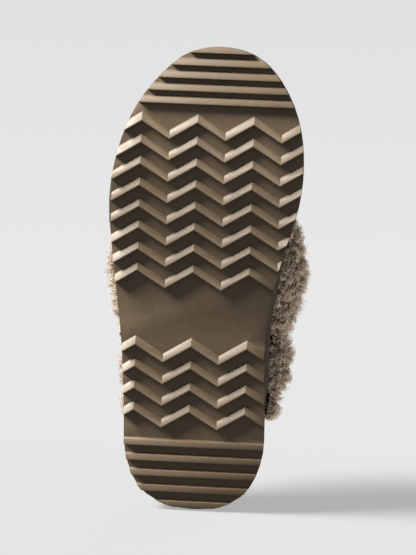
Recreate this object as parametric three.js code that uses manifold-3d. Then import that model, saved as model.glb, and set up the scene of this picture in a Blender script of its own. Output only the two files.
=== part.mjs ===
// An open-back house slipper for the right foot, in millimetres, +Z up.
// The toe points along -Y, the inner side of the foot is +X, and the tread stands on z = 0.
// The upper is a suede shell lined with fleece, and a thick wool cuff is folded over its top line.

import * as THREE from "three";
import { mergeVertices } from "three/addons/utils/BufferGeometryUtils.js";
import Module from "manifold-3d";

const wasm = await Module();
wasm.setup();

// ---- Driving dimensions ----

// Plan of the sole
const soleLength = 268;
const ballWidth = 111.4; // across the widest part, under the toe joints
const waistWidth = 84; // across the arch
const heelWidth = 81;
const innerShare = 0.515; // how much of the ball's width lies on the inner side of the long axis

// Heights of the stack
const treadDepth = 3; // crest of a ridge to the floor between ridges
const outsoleHeight = 11; // crest to rim, at the ball
const heelRise = 4; // extra outsole height under the heel
const toeSpring = 12; // lift of the toe tip
const toeSpringStart = 185; // where the sole starts to curve up
const midsoleThickness = 5;
const boardThickness = 1.6;
const foamThickness = 3;
const fleeceThickness = 5;

// Edges of the stack
const waistFlare = 2; // the rim stands out past the tread at the inner waist
const rimDraft = 1.2; // and leans in by this much everywhere else
const bandThickness = 1.6;
const bandInset = 2.5; // outer face of the suede band, in from the tread's edge
const heelFleeceInset = 2.2; // the fleece covers the footbed's edge at the open heel

// Tread: ridges with a steep riser towards the toe, a sloping face behind it and a sheer back
const riserWidth = 0.8; // plan width of the riser
const landWidth = 0.7; // flat crest
const backWidth = 0.4; // plan width of the steep heel-side face
const chevronWidth = 5.4;
const chevronRiser = 1.2; // height of the riser
const chevronRise = 10; // peak to valley along the foot
const chevronPeriod = 32.2;
const chevronPeak = -4.1; // sideways place of the middle peak
const frontRows = 8;
const frontRowStart = 144; // first row of peaks behind the ball, from the heel
const frontRowPitch = 12.32;
const heelRows = 4;
const heelRowStart = 62.4;
const heelRowPitch = 12.75;
const heelBars = 5;
const heelBarStart = 5.3;
const heelBarPitch = 8.9;
const heelBarWidth = 4.4;
const heelBarRiser = 2.6;
const toeBars = 5;
const toeBarStart = 239.7;
const toeBarPitch = 7.22;
const toeBarWidth = 4.4;
const toeBarRiser = 2.1;
const shortestEdge = 0.01; // shorter edges left by the joins are closed up

// Upper
const upperEnd = 50; // where the sides of the upper run out, from the heel
const featherInset = 4; // foot of the suede, in from the tread's edge
const suedeThickness = 1.5;
const puffThickness = 0.8;
const liningThickness = 4.5;
const throatDistance = 152; // middle of the top line, from the heel
const throatHeight = 76;
const sideHeight = 53; // top line half way down each side
const sideDistance = 104;
const endHeight = 36; // top line where the sides run out
const openingWidth = 75; // across the suede at the sides of the opening
const toeBoxRise = 33; // how steeply the toe box rises at the toe
const sideRise = 23; // the same at the sides
const wallLean = 0.26; // slope of the side walls towards the opening at the top line
const instepClimb = 0.48; // slope of the instep at the top line
const seamShare = 0.5; // place of the vamp seams between the ends of the upper and the toe

// Wool cuff
const cuffThickness = 19; // at the instep
const cuffSideThickness = 10; // half way down each side
const cuffEndThickness = 4.5;
const cuffDrop = 30; // how far it hangs over the outside
const cuffTuck = 9; // how far it turns down inside
const cuffLining = 4; // thickness of the wool inside the opening
const cuffGap = 0.8; // between the cuff and the shell it is folded over

// Trim
const threadRadius = 0.5;
const seamMargin = 0.011; // share of the foot line between a seam and its row of thread
const gap = 0.3; // clearance between touching pieces
const layerGap = 0.5; // the same between the curved layers of the upper

// ---- Colours ----

const finishes = {
  rubber: { color: 0x7d6b53, roughness: 0.55 },
  foam: { color: 0xd8d2c6, roughness: 0.9 },
  board: { color: 0xa58a62, roughness: 0.9 },
  suede: { color: 0x7c6a58, roughness: 0.95 },
  fleece: { color: 0xa5988a, roughness: 1 },
  wool: { color: 0x8a7d70, roughness: 1 },
  stiffener: { color: 0xcfc8ba, roughness: 0.8 },
  thread: { color: 0x9a8a76, roughness: 0.8 },
};

const slipper = new THREE.Group();

function add(name, geometry, finish) {
  const material = new THREE.MeshStandardMaterial({ ...finishes[finish], metalness: 0 });
  const mesh = new THREE.Mesh(geometry, material);
  mesh.name = name;
  slipper.add(mesh);
}

// ---- Closed solids ----

// Signed volume of an indexed geometry: negative when its faces point inwards.
function signedVolume(geometry) {
  const position = geometry.attributes.position;
  const corner = [new THREE.Vector3(), new THREE.Vector3(), new THREE.Vector3()];
  let sum = 0;
  for (let i = 0; i < geometry.index.count; i += 3) {
    corner.forEach((c, k) => c.fromBufferAttribute(position, geometry.index.getX(i + k)));
    sum += corner[0].dot(corner[1].cross(corner[2])) / 6;
  }
  return sum;
}

// Merges shared vertices, drops the faces that closed up, and turns the faces outwards.
function closed(geometry) {
  const bare = geometry.clone();
  bare.deleteAttribute("normal");
  bare.deleteAttribute("uv");
  const merged = mergeVertices(bare, 1e-3);
  const kept = [];
  for (let i = 0; i < merged.index.count; i += 3) {
    const [a, b, c] = [0, 1, 2].map((k) => merged.index.getX(i + k));
    if (a !== b && b !== c && c !== a) kept.push(a, b, c);
  }
  merged.setIndex(kept);
  if (signedVolume(merged) < 0) merged.setIndex(kept.reverse());
  merged.computeVertexNormals();
  return merged;
}

// A thick sheet between two surfaces, each a function of two numbers from 0 to 1, closed at its edges.
function sheet(outer, inner, across, along) {
  const positions = [];
  const index = [];
  for (const surface of [outer, inner]) {
    for (let j = 0; j <= along; j++) {
      for (let i = 0; i <= across; i++) positions.push(...surface(i / across, j / along).toArray());
    }
  }
  const at = (side, i, j) => side * (across + 1) * (along + 1) + j * (across + 1) + i;
  const quad = (a, b, c, d) => index.push(a, b, c, a, c, d);
  for (let j = 0; j < along; j++) {
    for (let i = 0; i < across; i++) {
      quad(at(0, i, j), at(0, i + 1, j), at(0, i + 1, j + 1), at(0, i, j + 1));
      quad(at(1, i, j), at(1, i, j + 1), at(1, i + 1, j + 1), at(1, i + 1, j));
    }
    quad(at(0, 0, j), at(0, 0, j + 1), at(1, 0, j + 1), at(1, 0, j));
    quad(at(0, across, j), at(1, across, j), at(1, across, j + 1), at(0, across, j + 1));
  }
  for (let i = 0; i < across; i++) {
    quad(at(0, i, 0), at(1, i, 0), at(1, i + 1, 0), at(0, i + 1, 0));
    quad(at(0, i, along), at(0, i + 1, along), at(1, i + 1, along), at(1, i, along));
  }
  const geometry = new THREE.BufferGeometry();
  geometry.setAttribute("position", new THREE.Float32BufferAttribute(positions, 3));
  geometry.setIndex(index);
  return closed(geometry);
}

function toSolid(geometry) {
  const tidy = closed(geometry);
  return new wasm.Manifold(
    new wasm.Mesh({
      numProp: 3,
      vertProperties: tidy.attributes.position.array,
      triVerts: new Uint32Array(tidy.index.array),
    }),
  );
}

function fromSolid(solid) {
  const mesh = solid.getMesh();
  const geometry = new THREE.BufferGeometry();
  geometry.setAttribute("position", new THREE.BufferAttribute(mesh.vertProperties, 3));
  geometry.setIndex(new THREE.BufferAttribute(mesh.triVerts, 1));
  return closed(geometry);
}

// A round thread or piping along a list of points.
function tube(points, radius, steps, sides) {
  const section = new THREE.Shape();
  for (let i = 0; i < sides; i++) {
    const angle = (2 * Math.PI * i) / sides;
    const corner = [radius * Math.cos(angle), radius * Math.sin(angle)];
    if (i === 0) section.moveTo(...corner);
    else section.lineTo(...corner);
  }
  const path = new THREE.CatmullRomCurve3(points);
  return closed(new THREE.ExtrudeGeometry(section, { steps, extrudePath: path }));
}

// ---- Shape of the sole ----

const mix = THREE.MathUtils.lerp;
const smooth = THREE.MathUtils.smoothstep;
const heelToToe = (share) => share * soleLength;
const innerBall = ballWidth * innerShare;
const outerBall = ballWidth - innerBall;

// Half widths round the tread: [share of the length from the heel, distance from the long axis].
const innerEdge = [
  [0.012, 0.45 * heelWidth / 2],
  [0.045, 0.75 * heelWidth / 2],
  [0.115, 0.95 * heelWidth / 2],
  [0.22, 0.975 * heelWidth / 2],
  [0.36, 0.91 * waistWidth / 2],
  [0.455, 0.965 * waistWidth / 2],
  [0.56, 0.825 * innerBall],
  [0.67, 0.965 * innerBall],
  [0.75, innerBall],
  [0.835, 0.956 * innerBall],
  [0.9, 0.84 * innerBall],
  [0.957, 0.65 * innerBall],
  [0.988, 0.44 * innerBall],
];
const outerEdge = [
  [0.012, 0.47 * heelWidth / 2],
  [0.045, 0.8 * heelWidth / 2],
  [0.115, 1.0 * heelWidth / 2],
  [0.22, 1.045 * heelWidth / 2],
  [0.36, 1.062 * waistWidth / 2],
  [0.47, 1.148 * waistWidth / 2],
  [0.56, 0.95 * outerBall],
  [0.655, 0.996 * outerBall],
  [0.73, 0.968 * outerBall],
  [0.82, 0.855 * outerBall],
  [0.885, 0.7 * outerBall],
  [0.95, 0.44 * outerBall],
  [0.985, 0.22 * outerBall],
];

// The edge as one closed curve: heel, outer side, toe, inner side.
// x is sideways, y the distance from the heel.
const toePlace = 0.105 * innerBall;
const edgeCurve = new THREE.CatmullRomCurve3(
  [
    new THREE.Vector3(0, 0, 0),
    ...outerEdge.map(([share, half]) => new THREE.Vector3(-half, heelToToe(share), 0)),
    new THREE.Vector3(toePlace, soleLength, 0),
    ...innerEdge.toReversed().map(([share, half]) => new THREE.Vector3(half, heelToToe(share), 0)),
  ],
  true,
  "centripetal",
);
edgeCurve.arcLengthDivisions = 1200;

// A point of the edge at a share of its length, moved in by an inset.
function edgePoint(share, inset) {
  const wrapped = ((share % 1) + 1) % 1;
  const tangent = edgeCurve.getTangentAt(wrapped);
  const point = edgeCurve.getPointAt(wrapped);
  return new THREE.Vector2(point.x + tangent.y * inset, point.y - tangent.x * inset);
}

// Share of the edge's length at which one side reaches a distance from the heel, by halving.
function edgeShareAt(distance, side) {
  let [low, high] = [0, 0.5];
  for (let i = 0; i < 40; i++) {
    const middle = (low + high) / 2;
    if (edgePoint(side === "outer" ? middle : 1 - middle, 0).y < distance) low = middle;
    else high = middle;
  }
  return side === "outer" ? low : 1 - low;
}

// Lift of the whole sole towards the toe.
function lift(distance) {
  const past = Math.max(0, distance - toeSpringStart) / (soleLength - toeSpringStart);
  return toeSpring * past * past;
}

const heelLift = (distance) => heelRise * (1 - smooth(distance, heelToToe(0.25), heelToToe(0.55)));
const treadFloor = (distance) => lift(distance) + treadDepth;
const outsoleTop = (distance) => lift(distance) + outsoleHeight + heelLift(distance);
const midsoleBottom = (distance) => outsoleTop(distance) + gap;
const midsoleTop = (distance) => midsoleBottom(distance) + midsoleThickness;
const boardBottom = (distance) => midsoleTop(distance) + gap;
const boardTop = (distance) => boardBottom(distance) + boardThickness;
const foamBottom = (distance) => boardTop(distance) + gap;
const foamTop = (distance) => foamBottom(distance) + foamThickness;
const fleeceBottom = (distance) => foamTop(distance) + gap;
const fleeceTop = (distance) => fleeceBottom(distance) + fleeceThickness;

// Point of a layer: across runs from the outer to the inner edge, along from heel to toe.
function layerPoint(across, along, inset, height) {
  const outer = edgePoint(along / 2, inset(along));
  const inner = edgePoint(1 - along / 2, inset(along));
  const plan = outer.lerp(inner, across);
  return new THREE.Vector3(plan.x, -plan.y, height(plan.y));
}

const layerSteps = 44;
const always = (value) => () => value;

function soleLayer(bottomInset, topInset, bottom, top) {
  return sheet(
    (a, b) => layerPoint(a, b, topInset, top),
    (a, b) => layerPoint(a, b, bottomInset, bottom),
    2,
    layerSteps,
  );
}

// ---- Outsole with its tread ----

// A ridge along a zigzag row, or a straight bar when the rise is 0. Its riser and slope face the toe.
function ridge(start, width, riserHeight, rise) {
  const half = chevronPeriod / 2;
  const places = [];
  const reach = ballWidth * 0.62;
  for (let x = chevronPeak; x > -reach; x -= half) places.unshift(x);
  for (let x = chevronPeak + half; x < reach; x += half) places.push(x);
  const middle = places.indexOf(chevronPeak);
  const section = [
    [0, treadDepth],
    [riserWidth, treadDepth - riserHeight],
    [width - landWidth - backWidth, 0],
    [width - backWidth, 0],
    [width, treadDepth],
  ];
  const rooted = treadDepth + 1;
  const at = (a, b, root) => {
    const place = Math.round(b * (places.length - 1));
    const [offset, height] = section[Math.round(a * (section.length - 1))];
    const down = (place - middle) % 2 === 0 ? 0 : rise;
    const distance = start - down - offset;
    return new THREE.Vector3(places[place], -distance, lift(distance) + (root ? rooted : height));
  };
  return toSolid(
    sheet((a, b) => at(a, b, false), (a, b) => at(a, b, true), section.length - 1, places.length - 1),
  );
}

function outsole() {
  const waistStart = heelToToe(0.3);
  const waistEnd = heelToToe(0.52);
  const flare = (along) => {
    const distance = edgePoint(1 - along / 2, 0).y;
    const begun = smooth(distance, waistStart - 25, waistStart + 5);
    const ended = smooth(distance, waistEnd - 10, waistEnd + 20);
    return mix(rimDraft, -waistFlare, begun * (1 - ended));
  };
  let body = toSolid(
    sheet(
      (a, b) => layerPoint(a, b, (along) => mix(rimDraft, flare(along), a), outsoleTop),
      (a, b) => layerPoint(a, b, always(0), treadFloor),
      4,
      layerSteps,
    ),
  );
  const plan = new THREE.Shape(
    Array.from({ length: 120 }, (_, i) => {
      const p = edgePoint(i / 120, gap / 2);
      return new THREE.Vector2(p.x, -p.y);
    }),
  );
  const depth = 2 * outsoleHeight + toeSpring;
  const cutter = new THREE.ExtrudeGeometry(plan, { depth, bevelEnabled: false });
  cutter.translate(0, 0, -outsoleHeight / 2);
  const inside = toSolid(cutter);
  const rows = [];
  const addRows = (count, start, pitch, ...profile) => {
    for (let i = 0; i < count; i++) rows.push([start + i * pitch, ...profile]);
  };
  addRows(frontRows, frontRowStart, frontRowPitch, chevronWidth, chevronRiser, chevronRise);
  addRows(heelRows, heelRowStart, heelRowPitch, chevronWidth, chevronRiser, chevronRise);
  addRows(heelBars, heelBarStart, heelBarPitch, heelBarWidth, heelBarRiser, 0);
  addRows(toeBars, toeBarStart, toeBarPitch, toeBarWidth, toeBarRiser, 0);
  for (const row of rows) body = body.add(ridge(...row).intersect(inside));
  return fromSolid(body.simplify(shortestEdge));
}

add("outsole", outsole(), "rubber");

// ---- Footbed and midsole ----

const wrapInset = bandInset + bandThickness + 2 * gap;
const puffDepth = suedeThickness + layerGap;
const liningDepth = puffDepth + puffThickness + layerGap;
const wallThickness = liningDepth + liningThickness;
const openHeel = (distance) => 1 - smooth(distance, 0.5 * upperEnd, 0.92 * upperEnd);

const midsoleInset = always(wrapInset);
add("midsole", soleLayer(midsoleInset, midsoleInset, midsoleBottom, midsoleTop), "foam");

const boardWallInset = featherInset + suedeThickness + puffThickness + 4 * gap;
const boardInset = (along) => mix(boardWallInset, wrapInset, openHeel(edgePoint(along / 2, 0).y));
add("insole_board", soleLayer(boardInset, boardInset, boardBottom, boardTop), "board");

// A strip of suede round the edge between two shares of its length and two heights.
function edgeStrip(from, to, bottom, top, steps) {
  const point = (a, b, inset) => {
    const plan = edgePoint(mix(from, to, b), inset);
    return new THREE.Vector3(plan.x, -plan.y, mix(bottom(plan.y), top(plan.y), a));
  };
  return sheet(
    (a, b) => point(a, b, bandInset),
    (a, b) => point(a, b, bandInset + bandThickness),
    1,
    steps,
  );
}

const buttGap = gap / soleLength / 2;
add("side_band", edgeStrip(buttGap, 1 - buttGap, midsoleBottom, midsoleTop, 88), "suede");

const outerEndShare = edgeShareAt(upperEnd, "outer");
const innerEndShare = edgeShareAt(upperEnd, "inner");
add(
  "heel_wrap",
  edgeStrip(innerEndShare - 1 + 4 * buttGap, outerEndShare - 4 * buttGap, boardBottom, foamTop, 26),
  "suede",
);

// ---- Surface of the upper ----

// The upper is swept from its outer end round the toe to its inner end by a turn from 0 to 1.
// At each turn a rib runs from the foot line up to the top line by a climb from 0 to 1.

function footPoint(turn) {
  const plan = edgePoint(mix(outerEndShare, innerEndShare, turn), featherInset);
  return new THREE.Vector3(plan.x, -plan.y, boardBottom(plan.y));
}

const opening = openingWidth / 2;
const topLineSide = (side) => [
  new THREE.Vector3(side * Math.abs(footPoint(side < 0 ? 0 : 1).x), -upperEnd, endHeight),
  new THREE.Vector3(side * opening, -mix(upperEnd, sideDistance, 0.5), mix(endHeight, sideHeight, 0.46)),
  new THREE.Vector3(side * opening, -sideDistance, sideHeight),
  new THREE.Vector3(
    side * opening * 0.84,
    -mix(sideDistance, throatDistance, 0.62),
    mix(sideHeight, throatHeight, 0.54),
  ),
  new THREE.Vector3(
    side * opening * 0.46,
    -mix(sideDistance, throatDistance, 0.92),
    mix(sideHeight, throatHeight, 0.88),
  ),
];
const topLine = new THREE.CatmullRomCurve3([
  ...topLineSide(-1),
  new THREE.Vector3(0, -throatDistance, throatHeight),
  ...topLineSide(1).reverse(),
]);

// How far a turn is from the ends of the upper (0) towards the toe (1).
const inward = (turn) => 1 - Math.abs(2 * turn - 1);

// The ribs bunch up along the instep, where the top line is short and the foot line long.
function topPoint(turn) {
  const half = inward(turn);
  const share = 0.5 * mix(half, 1 - (1 - half) ** 3, 0.75);
  return topLine.getPointAt(turn < 0.5 ? share : 1 - share);
}

// Direction in which a rib reaches the top line: up the side walls, and straight back over the instep.
function topDirection(turn, foot, top) {
  const sideways = THREE.MathUtils.clamp(top.x / opening, -1, 1);
  const side = new THREE.Vector3(-wallLean * sideways, 0, 1);
  const instep = top.clone().sub(foot).setZ(0).setLength(1).setZ(instepClimb);
  return side.lerp(instep, smooth(inward(turn), 0.15, 0.8)).normalize();
}

function ribPoint(turn, climb) {
  const foot = footPoint(turn);
  const top = topPoint(turn);
  const length = foot.distanceTo(top);
  const rise = Math.min(mix(sideRise, toeBoxRise, smooth(inward(turn), 0.5, 1)), 0.45 * length);
  const above = foot.clone().add(new THREE.Vector3(0, 0, rise));
  const below = top.clone().addScaledVector(topDirection(turn, foot, top), -0.4 * length);
  return new THREE.CubicBezierCurve3(foot, above, below, top).getPoint(climb);
}

// Outward direction of the upper's surface, from two short steps along it.
function outwardAt(turn, climb) {
  const step = 0.004;
  const clamp = THREE.MathUtils.clamp;
  const [t0, t1] = [clamp(turn - step, 0, 1), clamp(turn + step, 0, 1)];
  const [c0, c1] = [clamp(climb - step, 0, 1), clamp(climb + step, 0, 1)];
  const round = ribPoint(t1, climb).sub(ribPoint(t0, climb));
  const up = ribPoint(turn, c1).sub(ribPoint(turn, c0));
  return round.cross(up).normalize();
}

// A point at a depth under the suede's outer face; a negative depth lies outside it.
function upperPoint(turn, climb, depth) {
  return ribPoint(turn, climb).addScaledVector(outwardAt(turn, climb), -depth);
}

// Climb at which the surface at a depth reaches a height, by halving.
function climbAt(turn, depth, height) {
  let [low, high] = [0, 1];
  for (let i = 0; i < 24; i++) {
    const middle = (low + high) / 2;
    if (upperPoint(turn, middle, depth).z < height) low = middle;
    else high = middle;
  }
  return low;
}

// Every layer of the upper takes the same steps, so that their facets nest.
const turnSteps = 48;
const climbSteps = 12;
const stepsFor = (from, to) => Math.round((to - from) * turnSteps);

// A layer of the upper between two turns and two depths, from a lowest climb to a highest one.
function upperPanel(from, to, depth, thickness, lowest, highest) {
  const at = (a, b, d) => {
    const turn = mix(from, to, b);
    return upperPoint(turn, mix(lowest(turn), highest(turn), a), d);
  };
  const steps = Math.round((highest(from) - lowest(from)) * climbSteps);
  return sheet((a, b) => at(a, b, depth), (a, b) => at(a, b, depth + thickness), steps, stepsFor(from, to));
}

const seamGap = gap / 500; // the gap as a share of the foot line
const vampStart = seamShare / 2;
const vampEnd = 1 - vampStart;
const panels = [
  ["lateral_quarter", 0, vampStart - seamGap],
  ["vamp", vampStart + seamGap, vampEnd - seamGap],
  ["medial_quarter", vampEnd + seamGap, 1],
];

const liningFoot = (turn) => {
  const foot = footPoint(turn);
  return climbAt(turn, wallThickness, boardTop(-foot.y) + 2 * gap);
};

for (const [name, from, to] of panels) {
  const suede = upperPanel(from, to, 0, suedeThickness, always(0), always(1));
  const lining = upperPanel(from, to, liningDepth, liningThickness, liningFoot, always(1));
  add(name, suede, "suede");
  add(name + "_lining", lining, "fleece");
}

add(
  "toe_puff",
  upperPanel(0.375, 0.625, puffDepth, puffThickness, always(0), always(5 / climbSteps)),
  "stiffener",
);

// ---- Cushion and fleece of the footbed ----

// Edge of a footbed layer: near the sole's edge at the open heel, and inside the lining between the walls.
function footbedEdge(share, heelInset, height) {
  const free = edgePoint(share, heelInset);
  const turn = (share - outerEndShare) / (innerEndShare - outerEndShare);
  let walled = edgePoint(share, featherInset + wallThickness + 3 * gap);
  if (turn > 0 && turn < 1) {
    const depth = wallThickness + 2 * gap;
    const inside = upperPoint(turn, climbAt(turn, depth, height(free.y)), depth);
    walled = new THREE.Vector2(inside.x, -inside.y);
  }
  return walled.lerp(free, openHeel(edgePoint(share, 0).y));
}

function footbedLayer(heelInset, bottom, top) {
  const at = (a, b, height) => {
    const outer = footbedEdge(b / 2, heelInset, height);
    const plan = outer.lerp(footbedEdge(1 - b / 2, heelInset, height), a);
    return new THREE.Vector3(plan.x, -plan.y, height(plan.y));
  };
  return sheet((a, b) => at(a, b, top), (a, b) => at(a, b, bottom), 2, layerSteps);
}

add("footbed_foam", footbedLayer(wrapInset, foamBottom, foamTop), "foam");
add("footbed_fleece", footbedLayer(heelFleeceInset, fleeceBottom, fleeceTop), "fleece");

// ---- Wool cuff ----

const ribLength = (turn) => footPoint(turn).distanceTo(topPoint(turn));

function cuffWeight(turn) {
  const half = inward(turn);
  const side = mix(cuffEndThickness, cuffSideThickness, smooth(half, 0, 0.1));
  return mix(side, cuffThickness, smooth(half, 0.2, 0.36));
}

const cuffHang = (turn) => Math.min(cuffDrop, 0.6 * ribLength(turn));
const cuffTurnDown = (turn) => mix(gap, cuffTuck, smooth(inward(turn), 0, 0.3));

// Shares of the cuff's section: hanging outside, turning over the edge, then down inside.
const overStart = 0.5;
const overEnd = 5 / 6;

// A point of the cuff round its section by a share from 0 to 1, on its skin (0) or its wool side (1).
function cuffPoint(turn, share, woolSide) {
  const edge = ribPoint(turn, 1);
  const outward = outwardAt(turn, 1);
  const up = ribPoint(turn, 1).sub(ribPoint(turn, 0.99)).normalize();
  const thick = cuffWeight(turn);
  if (share <= overStart) {
    const hang = cuffHang(turn) * (1 - share / overStart);
    const climb = 1 - hang / ribLength(turn);
    const bulge = thick * Math.sqrt(1 - 0.85 * (1 - share / overStart) ** 3);
    return upperPoint(turn, climb, -cuffGap - woolSide * bulge);
  }
  if (share < overEnd) {
    const angle = (Math.PI * (share - overStart)) / (overEnd - overStart);
    const wool = woolSide * mix(thick, cuffLining, smooth(angle, 0.2 * Math.PI, Math.PI));
    const across = wallThickness / 2 + cuffGap + wool;
    return edge
      .addScaledVector(outward, Math.cos(angle) * across - wallThickness / 2)
      .addScaledVector(up, Math.sin(angle) * (cuffGap + wool));
  }
  const tuck = (cuffTurnDown(turn) * (share - overEnd)) / (1 - overEnd);
  const climb = 1 - tuck / ribLength(turn);
  return upperPoint(turn, climb, wallThickness + cuffGap + woolSide * cuffLining);
}

function cuffPanel(from, to) {
  const at = (a, b, woolSide) => cuffPoint(mix(from, to, b), a, woolSide);
  return sheet((a, b) => at(a, b, 1), (a, b) => at(a, b, 0), 12, stepsFor(from, to));
}

const cuffSeam = 0.125;
add("lateral_cuff", cuffPanel(0, cuffSeam - 2 * seamGap), "wool");
add("instep_cuff", cuffPanel(cuffSeam + 2 * seamGap, 1 - cuffSeam - 2 * seamGap), "wool");
add("medial_cuff", cuffPanel(1 - cuffSeam + 2 * seamGap, 1), "wool");

// ---- Threads ----

const threadDepth = -threadRadius - layerGap;

// A row of thread up a vamp seam, from the foot line to the edge of the cuff.
function seamThread(turn) {
  const highest = 1 - cuffHang(turn) / ribLength(turn) - 0.02;
  const points = Array.from({ length: 9 }, (_, i) => upperPoint(turn, mix(0.1, highest, i / 8), threadDepth));
  return tube(points, threadRadius, 18, 6);
}

add("lateral_seam_thread", seamThread(vampStart + seamMargin), "thread");
add("medial_seam_thread", seamThread(vampEnd - seamMargin), "thread");

const footThreadHeight = 3;
const footThreadPoints = Array.from({ length: 49 }, (_, i) => {
  const turn = mix(0.01, 0.99, i / 48);
  const climb = climbAt(turn, threadDepth, footPoint(turn).z + footThreadHeight);
  return upperPoint(turn, climb, threadDepth);
});
add("foot_thread", tube(footThreadPoints, threadRadius, 72, 6), "thread");

// ---- Placing ----

// The origin is the middle of the bounding box, on the ground.
const bounds = new THREE.Box3().setFromObject(slipper);
const middle = bounds.getCenter(new THREE.Vector3());
slipper.position.set(-middle.x, -middle.y, -bounds.min.z);
slipper.updateMatrixWorld(true);

export default slipper;
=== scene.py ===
import math

import bmesh
import bpy
import numpy as np
from mathutils import Matrix, Vector, kdtree, noise
from mathutils.bvhtree import BVHTree


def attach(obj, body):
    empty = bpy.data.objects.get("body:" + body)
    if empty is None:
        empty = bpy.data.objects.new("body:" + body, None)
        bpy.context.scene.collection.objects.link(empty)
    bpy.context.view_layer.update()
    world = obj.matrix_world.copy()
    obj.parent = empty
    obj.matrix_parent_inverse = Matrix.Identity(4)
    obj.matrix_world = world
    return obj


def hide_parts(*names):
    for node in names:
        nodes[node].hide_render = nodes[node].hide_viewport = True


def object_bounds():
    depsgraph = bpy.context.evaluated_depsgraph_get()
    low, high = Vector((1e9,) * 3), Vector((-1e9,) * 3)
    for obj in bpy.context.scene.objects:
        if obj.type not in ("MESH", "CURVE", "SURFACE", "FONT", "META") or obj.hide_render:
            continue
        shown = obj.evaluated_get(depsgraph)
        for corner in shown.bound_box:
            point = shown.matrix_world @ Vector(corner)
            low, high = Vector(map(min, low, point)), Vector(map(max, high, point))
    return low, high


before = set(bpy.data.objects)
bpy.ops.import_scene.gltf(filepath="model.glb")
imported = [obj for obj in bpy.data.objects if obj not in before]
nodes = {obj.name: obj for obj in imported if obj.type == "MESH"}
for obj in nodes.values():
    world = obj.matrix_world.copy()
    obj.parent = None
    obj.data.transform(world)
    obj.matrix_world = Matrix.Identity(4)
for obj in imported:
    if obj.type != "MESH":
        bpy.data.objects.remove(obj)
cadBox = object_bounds()
scene = bpy.context.scene
mm = 0.001
heelEnd = cadBox[1].y  # the slipper's heel end; the toe points along -Y
print("frame loaded:", len(nodes), "nodes")


def fromHeel(y):
    return (heelEnd - y) / mm  # distance from the heel in millimetres


# ---- camera, lights and floor

cameraLook = {
    "distance": 2.6,
    "toSide": 0.095,  # how far the view comes from the inner side and from the toe
    "toToe": 0.173,
    "roll": 1.7,
    "lookAt": (0.0045, -0.0027, 0.0),
    "frameHeight": 0.3177,
    "longSide": 36.0,
}


def makeCamera():
    c = cameraLook
    data = bpy.data.cameras.new("camera")
    data.sensor_width = c["longSide"]
    data.lens = c["longSide"] * c["distance"] / c["frameHeight"]
    data.clip_start = 0.05
    data.clip_end = 50
    camera = bpy.data.objects.new("camera", data)
    scene.collection.objects.link(camera)
    away = Vector((c["toSide"], -c["toToe"], -1)).normalized()
    up = Vector((0, -1, 0))
    right = up.cross(away).normalized()
    up = away.cross(right)
    turn = Matrix((right, up, away)).transposed() @ Matrix.Rotation(math.radians(c["roll"]), 3, "Z")
    camera.matrix_world = Matrix.Translation(Vector(c["lookAt"]) + away * c["distance"]) @ turn.to_4x4()
    scene.camera = camera


class Value:
    # a socket that takes part in sums: each sum adds its own Math node
    def __init__(self, shader, socket):
        self.shader = shader
        self.socket = socket

    def maths(self, operation, first, second=None):
        given = {0: first} if second is None else {0: first, 1: second}
        return self.shader.node("ShaderNodeMath", {"operation": operation}, given)

    def __add__(self, other):
        return self.maths("ADD", self, other)

    def __radd__(self, other):
        return self.maths("ADD", other, self)

    def __sub__(self, other):
        return self.maths("SUBTRACT", self, other)

    def __rsub__(self, other):
        return self.maths("SUBTRACT", other, self)

    def __mul__(self, other):
        return self.maths("MULTIPLY", self, other)

    def clamped(self):
        return self.maths("MAXIMUM", self.maths("MINIMUM", self, 1.0), 0.0)


class Shader:
    # the node tree of one material or of the world
    def __init__(self, owner):
        owner.use_nodes = True
        self.tree = owner.node_tree
        self.tree.nodes.clear()

    def node(self, kind, settings=None, inputs=None, out=0):
        made = self.tree.nodes.new(kind)
        for key, value in (settings or {}).items():
            if key == "stops":
                ramp = made.color_ramp
                while len(ramp.elements) < len(value):
                    ramp.elements.new(0.5)
                for element, (place, colour) in zip(ramp.elements, value):
                    element.position = place
                    element.color = (*colour, 1) if len(colour) == 3 else colour
            else:
                setattr(made, key, value)
        for key, value in (inputs or {}).items():
            socket = made.inputs[key]
            if isinstance(value, Value):
                self.tree.links.new(value.socket, socket)
            elif isinstance(value, tuple) and len(value) == 3 and socket.type == "RGBA":
                socket.default_value = (*value, 1)
            else:
                socket.default_value = value
        return Value(self, made.outputs[out]) if made.outputs else None

    def place(self):
        return self.node("ShaderNodeTexCoord", out="Object")

    def axis(self, vector, which):
        return self.node("ShaderNodeSeparateXYZ", None, {0: vector}, which)

    def grain(self, scale, detail=3.0, roughness=0.55):
        wanted = {"Vector": self.place(), "Scale": scale, "Detail": detail, "Roughness": roughness}
        return self.node("ShaderNodeTexNoise", None, wanted)

    def stretch(self, vector, low, high):
        span = {"Value": vector, "From Min": low, "From Max": high}
        return self.node("ShaderNodeMapRange", {"clamp": True}, span)

    def mixed(self, factor, first, second):
        return self.node("ShaderNodeMix", {"data_type": "RGBA"}, {0: factor, 6: first, 7: second}, 2)

    def ramp(self, factor, stops):
        return self.node("ShaderNodeValToRGB", {"stops": stops}, {0: factor})

    def bump(self, height, strength, distance):
        wanted = {"Height": height, "Strength": strength, "Distance": distance}
        return self.node("ShaderNodeBump", None, wanted)

    def finish(self, inputs):
        surface = self.node("ShaderNodeBsdfPrincipled", None, inputs)
        self.node("ShaderNodeOutputMaterial", None, {"Surface": surface})


def linear(red, green, blue):
    # display colour, 0 to 255, as the linear colour that shaders use
    parts = [c / 255 for c in (red, green, blue)]
    return tuple(c / 12.92 if c <= 0.04045 else ((c + 0.055) / 1.055) ** 2.4 for c in parts)


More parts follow.
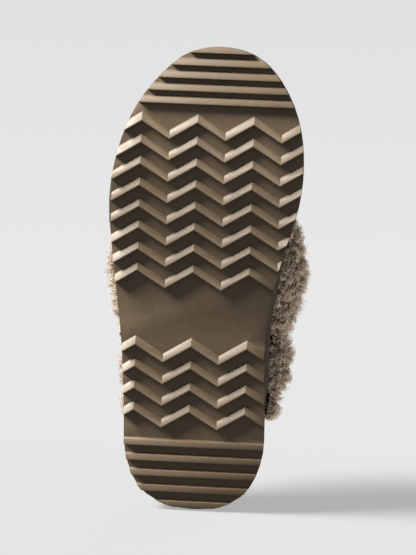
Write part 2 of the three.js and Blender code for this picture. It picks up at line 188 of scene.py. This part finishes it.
stageLook = {
    "keyFrom": (-0.7, -0.7, -0.13),  # grazes the tread from the toe's outer side
    "keyStrength": 13.0,
    "keySpread": 24.0,
    "keyColour": (1.0, 0.985, 0.955),
    "topStrength": 22.0,
    "rimFrom": (0.84, 0.05, 0.5),  # catches the wool on the inner side
    "rimStrength": 1.7,
    "fillFrom": (0.4, 0.8, -0.45),  # opens the shade in the wool
    "fillStrength": 4.2,
    "ambient": 0.24,
    "floorFade": (0.24, 0.60),
    "heelFloorFade": (0.10, 0.22),
    "floorGlow": 0.30,  # keeps the shadows on the pale floor light
    "floorPale": 0.62,
    "heelFloorGlow": 0.41,
    "heelFloorPale": 0.12,
}


def makeWorld():
    world = bpy.data.worlds.new("studio")
    scene.world = world
    s = Shader(world)
    away = s.axis(s.node("ShaderNodeTexCoord", out="Generated"), 1)
    share = s.stretch(away, 0.10, 0.24)
    greys = [(0.0, linear(224, 224, 225)), (0.55, linear(233, 233, 234)), (1.0, linear(230, 230, 231))]
    seen = s.ramp(share, greys)
    backdrop = s.node("ShaderNodeBackground", None, {"Color": seen, "Strength": 1.0})
    ambient = {"Color": (0.96, 0.98, 1.0), "Strength": stageLook["ambient"]}
    light = s.node("ShaderNodeBackground", None, ambient)
    camera = s.node("ShaderNodeLightPath", out="Is Camera Ray")
    both = s.node("ShaderNodeMixShader", None, {0: camera, 1: light, 2: backdrop})
    s.node("ShaderNodeOutputWorld", None, {"Surface": both})


# the rim and fill reach the wool alone, and only the pieces made below shade it from them
woolOnly = bpy.data.collections.new("lit_by_wool_lights")
shading = bpy.data.collections.new("shading_wool_lights")


def makeSun(name, colour=(1.0, 1.0, 1.0), receivers=None):
    look = stageLook
    light = bpy.data.lights.new(name, "SUN")
    light.energy = look[name + "Strength"]
    light.angle = math.radians(look["keySpread"])
    light.color = colour
    sun = bpy.data.objects.new(name, light)
    sun.rotation_mode = "QUATERNION"
    sun.rotation_quaternion = Vector(look[name + "From"]).to_track_quat("Z", "Y")
    scene.collection.objects.link(sun)
    if receivers:
        sun.light_linking.receiver_collection = receivers
        sun.light_linking.blocker_collection = shading


def makeLights():
    look = stageLook
    makeSun("key", look["keyColour"])
    makeSun("rim", receivers=woolOnly)
    makeSun("fill", receivers=woolOnly)
    top = bpy.data.lights.new("top", "AREA")
    top.energy = look["topStrength"]
    top.size = 1.4
    lamp = bpy.data.objects.new("top", top)
    lamp.location = (0.5, 0.1, 1.5)
    lamp.rotation_mode = "QUATERNION"
    lamp.rotation_quaternion = Vector(lamp.location).to_track_quat("Z", "Y")
    lamp.visible_glossy = False
    scene.collection.objects.link(lamp)


def makeFloor(name, corners, fadeOf, fades, glow, pale):
    # a pale sheet, seen only from its front, that fades into the backdrop
    bm = bmesh.new()
    bm.faces.new([bm.verts.new(c) for c in corners])
    mesh = bpy.data.meshes.new(name)
    bm.to_mesh(mesh)
    bm.free()
    floor = bpy.data.objects.new(name, mesh)
    scene.collection.objects.link(floor)
    material = bpy.data.materials.new(name)
    s = Shader(material)
    fade = s.stretch(fadeOf(s), *fades)
    behind = s.node("ShaderNodeNewGeometry", out="Backfacing")
    hidden = (fade + behind).clamped()
    look = {
        "Base Color": (pale, pale, pale), "Roughness": 0.9, "Specular IOR Level": 0.0,
        "Emission Color": (1.0, 1.0, 1.0), "Emission Strength": glow,
    }
    sheet = s.node("ShaderNodeBsdfPrincipled", None, look)
    clear = s.node("ShaderNodeBsdfTransparent")
    both = s.node("ShaderNodeMixShader", None, {0: hidden, 1: sheet, 2: clear})
    s.node("ShaderNodeOutputMaterial", None, {"Surface": both})
    mesh.materials.append(material)
    floor.visible_shadow = False
    floor.visible_diffuse = False
    floor.visible_glossy = False


def makeFloors():
    wide = 1.2

    def round(s):
        return s.node("ShaderNodeVectorMath", {"operation": "LENGTH"}, {0: s.place()}, "Value")

    ground = [(-wide, -wide, 0), (wide, -wide, 0), (wide, wide, 0), (-wide, wide, 0)]
    look = stageLook
    makeFloor("floor", ground, round, look["floorFade"], look["floorGlow"], look["floorPale"])
    y = heelEnd + 0.0004

    def height(s):
        return s.axis(s.place(), 2)

    upright = [(-wide, y, -wide), (wide, y, -wide), (wide, y, wide), (-wide, y, wide)]
    fades = look["heelFloorFade"]
    makeFloor("heel_floor", upright, height, fades, look["heelFloorGlow"], look["heelFloorPale"])


scene.view_settings.view_transform = "Standard"
makeCamera()
makeWorld()
makeLights()
makeFloors()
print("stage set")


# ---- finishes

rubberLook = {
    "base": linear(105, 87, 64),
    "dark": linear(97, 80, 58),
    # the side walls' colour: the rubber darkened as painted shade
    "worn": linear(121, 103, 79),
    "wall": linear(84, 69, 51),
    "roughness": 0.54,
    "specular": 0.7,
}


def rubberFinish():
    material = bpy.data.materials.new("moulded_rubber")
    s = Shader(material)
    look = rubberLook
    cloud = s.grain(28, 4)
    speck = s.grain(900, 2)
    colour = s.mixed(s.stretch(cloud, 0.35, 0.65), look["base"], look["dark"])
    scuff = s.stretch(s.grain(210, 5, 0.7), 0.52, 0.72) * 0.35
    colour = s.mixed(scuff, colour, look["worn"])
    skin = s.bump(speck + s.grain(260, 3) * 0.8, 0.22, 0.0002)
    upright = s.axis(s.node("ShaderNodeNewGeometry", out="Normal"), 2)
    tread = s.stretch(upright * upright, 0.02, 0.2)  # 0 on the side walls, which are duller and take a darker colour as painted shade
    colour = s.mixed(tread, look["wall"], colour)
    rough = look["roughness"] + (cloud - 0.5) * 0.25 + scuff * 0.3 + (1.0 - tread) * 0.36
    gloss = look["specular"]
    s.finish({"Base Color": colour, "Roughness": rough, "Normal": skin, "Specular IOR Level": gloss})
    return material


suedeLook = {
    "base": linear(122, 101, 82),
    "deep": linear(94, 76, 60),
    "pale": linear(150, 129, 108),
    "roughness": 0.93,
}


def suedeFinish():
    material = bpy.data.materials.new("brushed_suede")
    s = Shader(material)
    look = suedeLook
    sweep = s.stretch(s.grain(22, 3), 0.38, 0.62)
    nap = s.grain(1500, 3, 0.7)
    mottle = s.stretch(s.grain(160, 5, 0.65), 0.35, 0.7)
    colour = s.mixed(sweep, look["deep"], look["base"])
    colour = s.mixed(mottle * 0.55, colour, look["pale"])
    colour = s.mixed(s.stretch(nap, 0.3, 0.75) * 0.35, colour, look["deep"])
    skin = s.bump(nap + mottle * 0.6, 0.4, 0.0004)
    s.finish(
        {
            "Base Color": colour,
            "Roughness": look["roughness"],
            "Normal": skin,
            "Specular IOR Level": 0.1,
            "Sheen Weight": 0.12,
            "Sheen Roughness": 0.6,
        }
    )
    return material


woolLook = {
    # along each strand: the root darker as painted shade, the tip lighter as painted light
    "root": linear(118, 102, 88),
    "middle": linear(178, 160, 140),
    "tip": linear(208, 192, 173),
    "dark": linear(140, 121, 102),
    "roughness": 0.9,
}


def woolFinish(name, look, strands):
    material = bpy.data.materials.new(name)
    s = Shader(material)
    patch = s.stretch(s.grain(60, 4, 0.6), 0.35, 0.65)
    if strands:
        along = s.node("ShaderNodeAttribute", {"attribute_name": "along"}, None, "Fac")
        tone = s.node("ShaderNodeAttribute", {"attribute_name": "tone"}, None, "Fac")
        # each strand darkens towards its root as painted shade and lightens towards its tip as painted light
        colour = s.ramp(along, [(0.0, look["root"]), (0.45, look["middle"]), (1.0, look["tip"])])
        colour = s.mixed((tone * 0.75 + patch * 0.25).clamped() * 0.7, colour, look["dark"])
        s.finish({"Base Color": colour, "Roughness": look["roughness"], "Specular IOR Level": 0.2})
        return material
    curl = s.grain(420, 5, 0.65)
    colour = s.mixed(s.stretch(curl, 0.35, 0.65), look["root"], look["middle"])
    colour = s.mixed(patch * 0.4, colour, look["dark"])
    skin = s.bump(curl + s.grain(1300, 3) * 0.5, 0.9, 0.0012)
    s.finish(
        {"Base Color": colour, "Roughness": look["roughness"], "Normal": skin, "Specular IOR Level": 0.15}
    )
    return material


fleeceLook = {
    # along each strand: the root darker as painted shade, the tip lighter as painted light
    "root": linear(96, 83, 71),
    "middle": linear(146, 131, 115),
    "tip": linear(178, 164, 147),
    "dark": linear(120, 105, 90),
    "roughness": 0.92,
}


def plainFinish(name, base, other, scale, roughness, bumpDepth):
    material = bpy.data.materials.new(name)
    s = Shader(material)
    fibre = s.grain(scale, 4, 0.65)
    colour = s.mixed(s.stretch(fibre, 0.35, 0.65), base, other)
    skin = s.bump(fibre, 0.5, bumpDepth)
    s.finish({"Base Color": colour, "Roughness": roughness, "Normal": skin, "Specular IOR Level": 0.25})
    return material


finishes = {
    "rubber": rubberFinish(),
    "suede": suedeFinish(),
    "wool": woolFinish("curly_wool", woolLook, False),
    "woolStrands": woolFinish("curly_wool_strands", woolLook, True),
    "fleece": woolFinish("fleece_backing", fleeceLook, False),
    "fleeceStrands": woolFinish("fleece_pile", fleeceLook, True),
    "foam": plainFinish("moulded_foam", linear(148, 129, 108), linear(134, 115, 95), 700, 0.85, 0.0003),
    "board": plainFinish("fibre_board", linear(165, 138, 98), linear(140, 115, 80), 500, 0.85, 0.0002),
    "stiffener": plainFinish(
        "pressed_stiffener", linear(205, 198, 184), linear(188, 180, 165), 300, 0.8, 0.0002
    ),
    "thread": plainFinish("waxed_thread", linear(150, 131, 110), linear(120, 103, 85), 2500, 0.6, 0.0001),
}
print("finishes mixed:", len(finishes))


# ---- helpers for pieces

def seat(piece, finish, slotName):
    scene.collection.objects.link(piece)
    shading.objects.link(piece)
    if finish.startswith("wool"):
        woolOnly.objects.link(piece)
    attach(piece, "root")


def newPiece(name, bm, finish, slotName, *replaced, smooth=True):
    mesh = bpy.data.meshes.new(name)
    bm.to_mesh(mesh)
    bm.free()
    if "custom_normal" in mesh.attributes:
        mesh.attributes.remove(mesh.attributes["custom_normal"])
    for face in mesh.polygons:
        face.use_smooth = smooth
    mesh.materials.append(finishes[finish])
    piece = bpy.data.objects.new(name, mesh)
    seat(piece, finish, slotName)
    if replaced:
        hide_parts(*replaced)
    return piece


def mergedNode(name):
    bm = bmesh.new()
    bm.from_mesh(nodes[name].data)
    bmesh.ops.remove_doubles(bm, verts=bm.verts, dist=0.002 * mm)
    return bm


def finishModifiers(piece):
    # applies what is on the piece
    graph = bpy.context.evaluated_depsgraph_get()
    made = bpy.data.meshes.new_from_object(piece.evaluated_get(graph))
    old = piece.data
    piece.modifiers.clear()
    piece.data = made
    bpy.data.meshes.remove(old)


def remeshed(piece, look):
    # evenly meshed and rounded off, ready for its vertices to move
    remesh = piece.modifiers.new("remesh", "REMESH")
    remesh.mode = "VOXEL"
    remesh.voxel_size = look["voxel"]
    finishModifiers(piece)
    bm = bmesh.new()
    bm.from_mesh(piece.data)
    axes = {"use_axis_x": True, "use_axis_y": True, "use_axis_z": True}
    for _ in range(look["smooth"]):
        bmesh.ops.smooth_vert(bm, verts=bm.verts, factor=0.5, **axes)
    bm.normal_update()
    return bm


def addSubdivision(piece, levels):
    subdivision = piece.modifiers.new("subdivision", "SUBSURF")
    subdivision.levels = levels
    subdivision.render_levels = levels


def restyle(name, finish):
    node = nodes[name]
    node.data.materials.clear()
    node.data.materials.append(finishes[finish])


# ---- outsole

outsoleLook = {"dissolve": 1.5, "sharp": 24.0, "round": 0.32 * mm, "segments": 2, "wall": 0.4}


def makeOutsole():
    look = outsoleLook
    bm = mergedNode("outsole")
    bmesh.ops.dissolve_limit(
        bm, angle_limit=math.radians(look["dissolve"]), verts=bm.verts, edges=bm.edges
    )
    crests = [
        e for e in bm.edges
        if len(e.link_faces) == 2 and e.is_convex and e.calc_face_angle() > math.radians(look["sharp"])
    ]
    bmesh.ops.bevel(
        bm, geom=crests, offset=look["round"], segments=look["segments"], profile=0.5,
        affect="EDGES", material=-1, clamp_overlap=True,
    )
    bmesh.ops.triangulate(bm, faces=bm.faces)
    piece = newPiece("outsole_moulded", bm, "rubber", "sole_rubber", "outsole", smooth=False)
    for face in piece.data.polygons:
        face.use_smooth = abs(face.normal.z) < look["wall"]
    piece.data.set_sharp_from_angle(angle=math.radians(look["sharp"]))
    print("outsole:", len(piece.data.polygons), "faces")
    return piece


makeOutsole()

for stiff, finish in (
    ("midsole", "foam"), ("insole_board", "board"), ("toe_puff", "stiffener"), ("footbed_foam", "foam"),
):
    restyle(stiff, finish)


# ---- suede shell and its linings

shellPieces = {
    "side_band": ("suede", "suede", 1),
    "heel_wrap": ("suede", "suede", 1),
    "vamp": ("suede", "suede", 2),
    "lateral_quarter": ("suede", "suede", 2),
    "medial_quarter": ("suede", "suede", 2),
    "vamp_lining": ("fleece", "fleece", 1),
    "lateral_quarter_lining": ("fleece", "fleece", 1),
    "medial_quarter_lining": ("fleece", "fleece", 1),
}


def makeShell(name, finish, slotName, levels):
    # the panel with rounded cut edges, in quads so that it stays smooth
    bm = mergedNode(name)
    bmesh.ops.join_triangles(bm, faces=bm.faces, angle_face_threshold=0.6, angle_shape_threshold=1.2)
    piece = newPiece(name + "_sewn", bm, finish, slotName, name)
    addSubdivision(piece, levels)
    finishModifiers(piece)
    for face in piece.data.polygons:
        face.use_smooth = True
    return piece


sewn = {name: makeShell(name, *how) for name, how in shellPieces.items()}
print("shell sewn:", len(sewn), "panels")


# ---- stitching

stitchLook = {"pitch": 3.4 * mm, "length": 2.5 * mm, "thick": 0.85 * mm, "sink": 0.22 * mm, "yaw": 9.0}
threads = {
    "foot_thread": lambda place: place.y + (0.02 if place.x < 0 else 0),
    "lateral_seam_thread": lambda place: -place.z,
    "medial_seam_thread": lambda place: -place.z,
}


def threadPath(name, endOf):
    # the middle of the thread, ring by ring from one end
    bm = mergedNode(name)
    start = max(bm.verts, key=lambda v: endOf(v.co))
    ring = sorted(bm.verts, key=lambda v: (v.co - start.co).length)[:6]
    seen = set(ring)
    path = []
    while ring:
        path.append(sum((v.co for v in ring), Vector()) / len(ring))
        found = {e.other_vert(v) for v in ring for e in v.link_edges} - seen
        ring = sorted(found, key=lambda v: v.index)
        seen |= found
    bm.free()
    return path


def placesAlong(path, pitch):
    # evenly spaced places on a path, each with its direction
    left = pitch / 2
    for a, b in zip(path, path[1:]):
        span = (b - a).length
        while left < span:
            yield a.lerp(b, left / span), (b - a).normalized()
            left += pitch
        left -= span


def makeStitches(name, endOf, onto):
    look = stitchLook
    bm = bmesh.new()
    for middle, ahead in placesAlong(threadPath(name, endOf), look["pitch"]):
        near, out = onto.find_nearest(middle)[:2]
        place = near + out * look["sink"]
        across = out.cross(ahead).normalized()
        ahead = across.cross(out)
        turn = Matrix((ahead, across, out)).transposed()
        turn = turn @ Matrix.Rotation(math.radians(look["yaw"]), 3, "Z")
        size = Matrix.Diagonal((look["length"] / 2, look["thick"] / 2, look["thick"] / 2, 1))
        matrix = Matrix.Translation(place) @ turn.to_4x4() @ size
        bmesh.ops.create_uvsphere(bm, u_segments=8, v_segments=6, radius=1, matrix=matrix)
    bmesh.ops.recalc_face_normals(bm, faces=bm.faces)
    newPiece(name + "_stitches", bm, "thread", "thread", name)


def surfaceTree(*pieces):
    # one search tree over several finished pieces
    bm = bmesh.new()
    for piece in pieces:
        bm.from_mesh(piece.data)
    tree = BVHTree.FromBMesh(bm)
    bm.free()
    return tree


suedeTree = surfaceTree(sewn["vamp"], sewn["lateral_quarter"], sewn["medial_quarter"])
for name, endOf in threads.items():
    makeStitches(name, endOf, suedeTree)
print("stitched")


# ---- wool and fleece

def surfaceOf(obj):
    # corners, normals and areas of a mesh's triangles
    mesh = obj.data
    mesh.calc_loop_triangles()
    count = len(mesh.loop_triangles)
    corners = np.empty(count * 3, dtype=np.int32)
    mesh.loop_triangles.foreach_get("vertices", corners)
    corners = corners.reshape(-1, 3)
    places = np.empty(len(mesh.vertices) * 3)
    mesh.vertices.foreach_get("co", places)
    places = places.reshape(-1, 3)
    normals = np.empty(len(mesh.vertices) * 3)
    mesh.vertices.foreach_get("normal", normals)
    normals = normals.reshape(-1, 3)
    a, b, c = (places[corners[:, k]] for k in range(3))
    areas = np.linalg.norm(np.cross(b - a, c - a), axis=1) / 2
    return corners, places, normals, areas


def scatter(obj, count, rng, keep):
    # evenly random roots on a mesh, where keep says that the surface shows
    corners, places, normals, areas = surfaceOf(obj)
    chosen = rng.choice(len(corners), size=count * 3, p=areas / areas.sum())
    one, two = rng.random((2, count * 3, 1))
    one = np.sqrt(one)
    shares = (1 - one, one * (1 - two), one * two)
    roots = sum(places[corners[chosen, k]] * shares[k] for k in range(3))
    outs = sum(normals[corners[chosen, k]] * shares[k] for k in range(3))
    outs /= np.linalg.norm(outs, axis=1, keepdims=True)
    kept = [i for i in range(len(roots)) if keep(roots[i], outs[i])][:count]
    return roots[kept], outs[kept]


def sideways(outs, rng):
    # a random direction along the surface at each root
    loose = rng.normal(size=outs.shape)
    loose -= outs * np.sum(loose * outs, axis=1, keepdims=True)
    return loose / np.linalg.norm(loose, axis=1, keepdims=True)


def strandPaths(roots, outs, look, rng):
    # each lock of strands leans to its own tip and twists with it
    count = len(roots)
    lockCount = max(4, int(count / look["perLock"]))
    lockRoots = rng.choice(count, size=lockCount, replace=False)
    tree = kdtree.KDTree(lockCount)
    for i, k in enumerate(lockRoots):
        tree.insert(roots[k], i)
    tree.balance()
    lock = np.array([tree.find(r)[1] for r in roots])
    lockPlace = roots[lockRoots][lock]
    lockLean = (sideways(outs[lockRoots], rng) * rng.uniform(0.1, 1.0, (lockCount, 1)))[lock]
    lockLength = rng.uniform(*look["lockLength"], (lockCount, 1))[lock]
    lockTurn = rng.uniform(0, 2 * np.pi, (lockCount, 1))[lock]
    tone = rng.random((lockCount, 1))[lock] * 0.6 + rng.random((count, 1)) * 0.4
    length = look["length"] * lockLength * rng.uniform(0.75, 1.2, (count, 1))
    across = sideways(outs, rng)
    other = np.cross(outs, across)
    turn = rng.uniform(0, 2 * np.pi, (count, 1))
    rings = []
    for step in range(look["steps"] + 1):
        t = step / look["steps"]
        bend = length * (t - 0.18 * t * t)
        centre = roots + outs * bend
        centre = centre + (lockPlace - roots) * look["gather"] * t ** 1.3
        centre = centre + lockLean * length * look["lean"] * t * t
        centre = centre + np.array(look["droop"]) * length * t * t
        swing = look["curl"] * t ** 0.7
        angle = lockTurn + 2 * np.pi * look["turns"] * t
        centre = centre + (across * np.cos(angle + turn * 0.25) + other * np.sin(angle + turn * 0.25)) * swing
        rings.append(centre)
    return np.stack(rings, axis=1), tone[:, 0]


def strandMesh(name, paths, tone, look, finish, slotName):
    # a tapered, closed strand of a few faces along each path
    count, rings, _ = paths.shape
    sides = 3
    ahead = np.gradient(paths, axis=1)
    ahead /= np.linalg.norm(ahead, axis=2, keepdims=True) + 1e-12
    helper = np.array([0.31, 0.52, 0.79])
    across = np.cross(ahead, helper)
    across /= np.linalg.norm(across, axis=2, keepdims=True) + 1e-12
    other = np.cross(ahead, across)
    t = np.linspace(0, 1, rings)[None, :, None]
    radius = look["thick"] / 2 * (1 - 0.8 * t ** 1.5)
    points = []
    for k in range(sides):
        angle = 2 * math.pi * k / sides
        points.append(paths + (across * math.cos(angle) + other * math.sin(angle)) * radius)
    body = np.stack(points, axis=2)[:, :-1].reshape(count, -1, 3)
    tips = paths[:, -1:, :]
    verts = np.concatenate([body, tips], axis=1)
    perStrand = verts.shape[1]
    template = [(2, 1, 0)]
    for ring in range(rings - 2):
        for k in range(sides):
            low, high = ring * sides, (ring + 1) * sides
            n = (k + 1) % sides
            template.append((low + k, low + n, high + n))
            template.append((low + k, high + n, high + k))
    top = (rings - 2) * sides
    for k in range(sides):
        template.append((top + k, top + (k + 1) % sides, perStrand - 1))
    faces = (np.array(template)[None] + (np.arange(count) * perStrand)[:, None, None]).reshape(-1, 3)
    mesh = bpy.data.meshes.new(name)
    mesh.vertices.add(count * perStrand)
    mesh.vertices.foreach_set("co", verts.astype(np.float32).ravel())
    mesh.loops.add(faces.size)
    mesh.loops.foreach_set("vertex_index", faces.astype(np.int32).ravel())
    mesh.polygons.add(len(faces))
    mesh.polygons.foreach_set("loop_start", np.arange(0, faces.size, 3, dtype=np.int32))
    mesh.polygons.foreach_set("use_smooth", np.ones(len(faces), dtype=bool))
    mesh.update(calc_edges=True)
    share = np.concatenate([np.repeat(np.linspace(0, 1, rings)[:-1], sides), [1.0]])
    for label, values in (("along", np.tile(share, count)), ("tone", np.repeat(tone, perStrand))):
        layer = mesh.attributes.new(label, "FLOAT", "POINT")
        layer.data.foreach_set("value", values.astype(np.float32))
    mesh.materials.append(finishes[finish])
    piece = bpy.data.objects.new(name, mesh)
    seat(piece, finish, slotName)
    return piece


cuffLook = {
    "voxel": 1.6 * mm,
    "smooth": 8,
    "shrink": 2.6 * mm,  # the strands stand out from this
    "endsAt": 50,  # from the heel, in mm
    "endFade": 34,
    "endLumps": 0.35,  # share of the lumps that is left at the ends
    "seamReach": 2.5 * mm,
    "lumps": [(9 * mm, 2.2 * mm), (4 * mm, 1.0 * mm)],
    "length": 6.2 * mm,
    "lockLength": (0.6, 1.3),
    "perLock": 16,
    "steps": 5,
    "gather": 0.38,
    "lean": 0.6,
    "curl": 1.5 * mm,
    "turns": 1.7,
    "droop": (0, 0, -0.1),
    "thick": 0.36 * mm,
    "seed": 11,
}
# a pinch in the wool: distance from the heel, half width and depth in mm, and its side, 0 for both
cuffPinches = [(96.0, 4.5, 6.0, 0), (61.0, 7.0, 6.0, 0), (84.0, 17.0, 5.0, -1)]
cuffStrands = {"lateral_cuff": 6500, "instep_cuff": 26000, "medial_cuff": 6500}
mostStrands = 6500  # in one piece


def lumpy(place, out, look):
    # how far a point of the wool stands out, in rounded lumps
    stand = 0
    for size, height in look["lumps"]:
        cell = noise.voronoi(place / size)[0][0]
        stand += (0.55 - cell) * height
    u = fromHeel(place.y)
    for middle, half, depth, side in cuffPinches:
        if side * place.x >= 0:
            stand -= depth * mm * math.exp(-(((u - middle) / half) ** 2)) * abs(out.x)
    return stand


def makeCuff(name):
    look = cuffLook
    bm = mergedNode(name)
    piece = newPiece(name + "_wool", bm, "wool", "curly_wool", name)
    bm = remeshed(piece, look)
    others = [BVHTree.FromBMesh(mergedNode(other)) for other in cuffStrands if other != name]
    moves = []
    for v in bm.verts:
        if any(tree.find_nearest(v.co, look["seamReach"])[0] for tree in others):
            continue  # the panels stay together at their seams
        # the thin ends by the heel keep their fullness
        full = min(1, max(0, (fromHeel(v.co.y) - look["endsAt"]) / look["endFade"]))
        stand = lumpy(v.co, v.normal, look) * (look["endLumps"] + (1 - look["endLumps"]) * full)
        moves.append((v, v.normal * (stand - look["shrink"] * full * shown(v.co, v.normal))))
    for v, move in moves:
        v.co += move
    bm.to_mesh(piece.data)
    bm.free()
    for face in piece.data.polygons:
        face.use_smooth = True
    return piece


upperNames = [part + end for part in ("vamp", "lateral_quarter", "medial_quarter") for end in ("", "_lining")]
shell = surfaceTree(*(sewn[name] for name in upperNames))


def shown(place, out):
    # 0 against the shell that the cuff is folded over, and 1 where the wool stands free
    near = shell.find_nearest(Vector(place), 6 * mm)
    if near[0] is None:
        return 1.0
    towards = (near[0] - Vector(place)).normalized().dot(Vector(out))
    return 0.0 if towards > 0.25 else 1.0


def makeCuffs():
    look = cuffLook
    rng = np.random.default_rng(look["seed"])
    for name, count in cuffStrands.items():
        piece = makeCuff(name)
        roots, outs = scatter(piece, count, rng, shown)
        paths, tone = strandPaths(roots, outs, look, rng)
        parts = math.ceil(len(paths) / mostStrands)
        order = np.argsort(paths[:, 0, 0], kind="stable")
        for k, part in enumerate(np.array_split(order, parts)):
            label = name + "_strands_" + str(k + 1)
            strandMesh(label, paths[part], tone[part], look, "woolStrands", "curly_wool")
        print("wool on", name + ":", len(paths), "strands")


makeCuffs()
print("wool combed")


# ---- fleece inside

footbedLook = {
    "voxel": 1.7 * mm,
    "smooth": 3,
    "lumps": [(7 * mm, 0.9 * mm), (3 * mm, 0.6 * mm)],
    "shrink": 0.6 * mm,
    "length": 3.2 * mm,
    "lockLength": (0.6, 1.3),
    "perLock": 10,
    "steps": 3,
    "gather": 0.35,
    "lean": 0.6,
    "curl": 0.8 * mm,
    "turns": 0.9,
    "droop": (0, 0, -0.05),
    "thick": 0.55 * mm,
    "strands": 11000,
    "farthest": 205,  # reach of the pile inside, in mm from the heel
    "seed": 23,
}
liningStrands = {"vamp_lining": 5000, "lateral_quarter_lining": 4500, "medial_quarter_lining": 4500}


def makeFootbed():
    look = footbedLook
    piece = newPiece("footbed_fleece_pad", mergedNode("footbed_fleece"), "fleece", "fleece", "footbed_fleece")
    bm = remeshed(piece, look)
    for v in [v for v in bm.verts if v.normal.z > -0.2]:
        rise = -look["shrink"]
        for size, height in look["lumps"]:
            rise += (0.5 - noise.voronoi(v.co / size)[0][0]) * height
        v.co.z += rise
    bm.to_mesh(piece.data)
    bm.free()
    for face in piece.data.polygons:
        face.use_smooth = True
    return piece


def makePile(name, piece, count, look, rng, keep):
    roots, outs = scatter(piece, count, rng, keep)
    paths, tone = strandPaths(roots, outs, look, rng)
    parts = max(1, math.ceil(len(paths) / (2 * mostStrands)))
    order = np.argsort(paths[:, 0, 1], kind="stable")
    for k, part in enumerate(np.array_split(order, parts)):
        strandMesh(name + "_pile_" + str(k + 1), paths[part], tone[part], look, "fleeceStrands", "fleece")


def makeFleece():
    look = footbedLook
    rng = np.random.default_rng(look["seed"])
    pad = makeFootbed()
    makePile("footbed", pad, look["strands"], look, rng, lambda place, out: out[2] > 0.15)
    lowest = cadBox[1].z * 0.35

    def inside(place, out):
        # the lining's face towards the foot, where light reaches it
        inward = out[0] * place[0] + out[2] * 0.05 < 0
        return fromHeel(place[1]) < look["farthest"] and place[2] > lowest and inward

    for name, count in liningStrands.items():
        makePile(name, sewn[name], count, look, rng, inside)
    print("fleece brushed up")


makeFleece()
